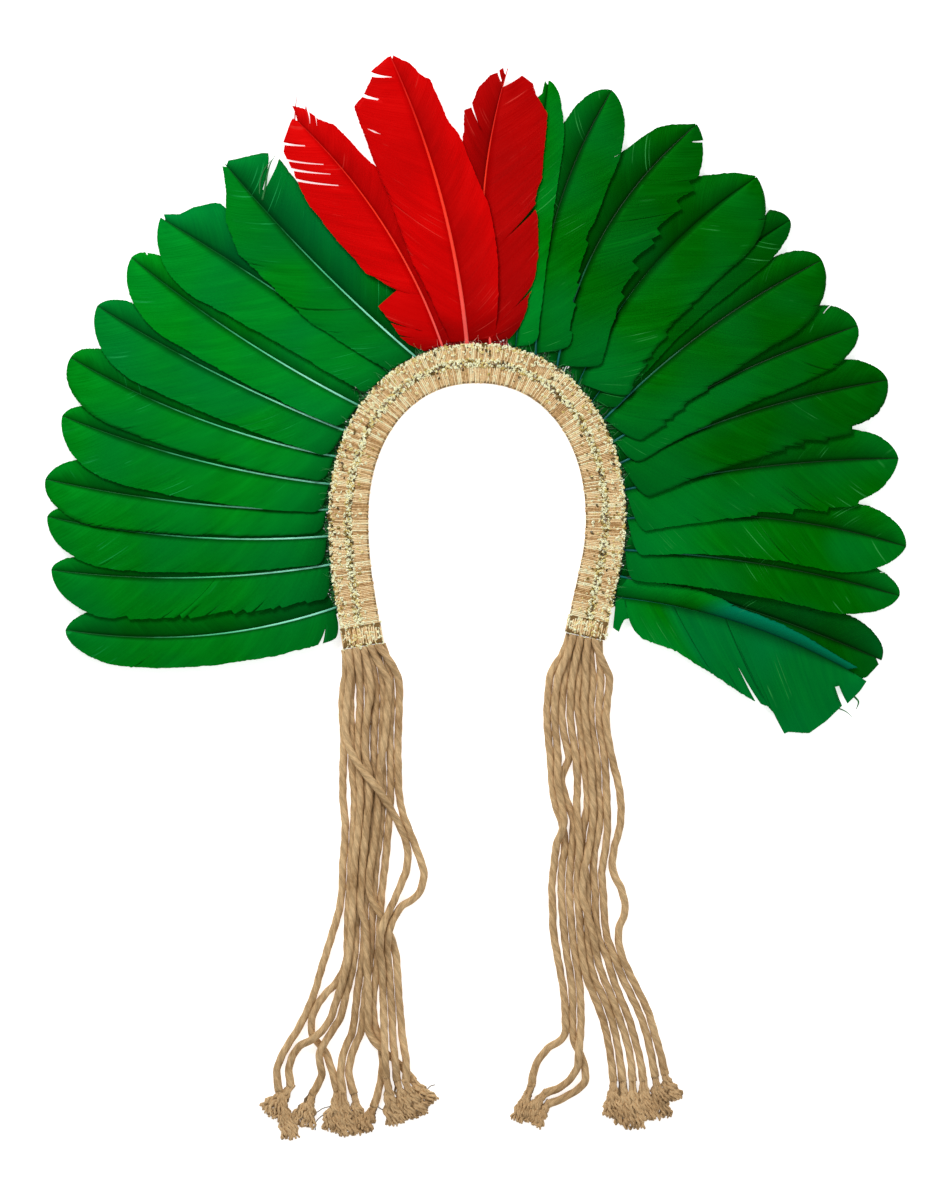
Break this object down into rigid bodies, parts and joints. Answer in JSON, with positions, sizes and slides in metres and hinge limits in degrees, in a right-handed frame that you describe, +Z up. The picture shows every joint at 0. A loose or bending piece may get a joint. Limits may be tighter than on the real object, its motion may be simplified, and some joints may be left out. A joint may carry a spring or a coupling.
{
  "type": "feathered headdress",
  "caption": "Open horseshoe headband covered with gold braid, with a fan of dyed green and red quill feathers along its outer edge and bunches of loose cords at both ends.",
  "frame": {"origin": "underside of the band at the middle of its crown, on the surface that the headdress lies on", "axes": "+Z up, out of the face that shows the braid; +Y out of the crown towards the middle feather; +X to the right, seen from above with the ties towards -Y"},
  "size_m": [0.5168, 0.6521, 0.0164],
  "materials": {
    "gold_braid": "ribbed braid with metallic gold thread",
    "band_cloth": "matte woven cloth over padding",
    "green_feather": "dyed feather, satin barbs and glossy shaft",
    "red_feather": "dyed feather, satin barbs and glossy shaft",
    "cotton_cord": "soft undyed cotton, matte"
  },
  "bodies": {
    "root": {"band_core": "band_cloth", "braid_outer": "gold_braid", "braid_inner": "gold_braid", "end_wrap_left": "gold_braid", "end_wrap_right": "gold_braid", "red_feather_left": "red_feather", "red_feather_middle": "red_feather", "red_feather_right": "red_feather", "green_left_01": "green_feather", "green_left_02": "green_feather", "green_left_03": "green_feather", "green_left_04": "green_feather", "green_left_05": "green_feather", "green_left_06": "green_feather", "green_left_07": "green_feather", "green_left_08": "green_feather", "green_left_09": "green_feather", "green_left_10": "green_feather", "green_right_01": "green_feather", "green_right_02": "green_feather", "green_right_03": "green_feather", "green_right_04": "green_feather", "green_right_05": "green_feather", "green_right_06": "green_feather", "green_right_07": "green_feather", "green_right_08": "green_feather", "green_right_09": "green_feather", "green_right_10": "green_feather", "green_right_11": "green_feather", "green_right_12": "green_feather", "green_right_13": "green_feather", "tie_left_01": "cotton_cord", "tie_left_02": "cotton_cord", "tie_left_03": "cotton_cord", "tie_left_04": "cotton_cord", "tie_left_05": "cotton_cord", "tie_left_06": "cotton_cord", "tie_left_07": "cotton_cord", "tie_left_08": "cotton_cord", "tie_left_09": "cotton_cord", "tie_left_10": "cotton_cord", "tie_left_11": "cotton_cord", "tuft_left_1": "cotton_cord", "tuft_left_2": "cotton_cord", "tuft_left_3": "cotton_cord", "tie_right_01": "cotton_cord", "tie_right_02": "cotton_cord", "tie_right_03": "cotton_cord", "tie_right_04": "cotton_cord", "tie_right_05": "cotton_cord", "tie_right_06": "cotton_cord", "tie_right_07": "cotton_cord", "tie_right_08": "cotton_cord", "tie_right_09": "cotton_cord", "tuft_right_1": "cotton_cord", "tuft_right_2": "cotton_cord"}
  },
  "joints": []
}
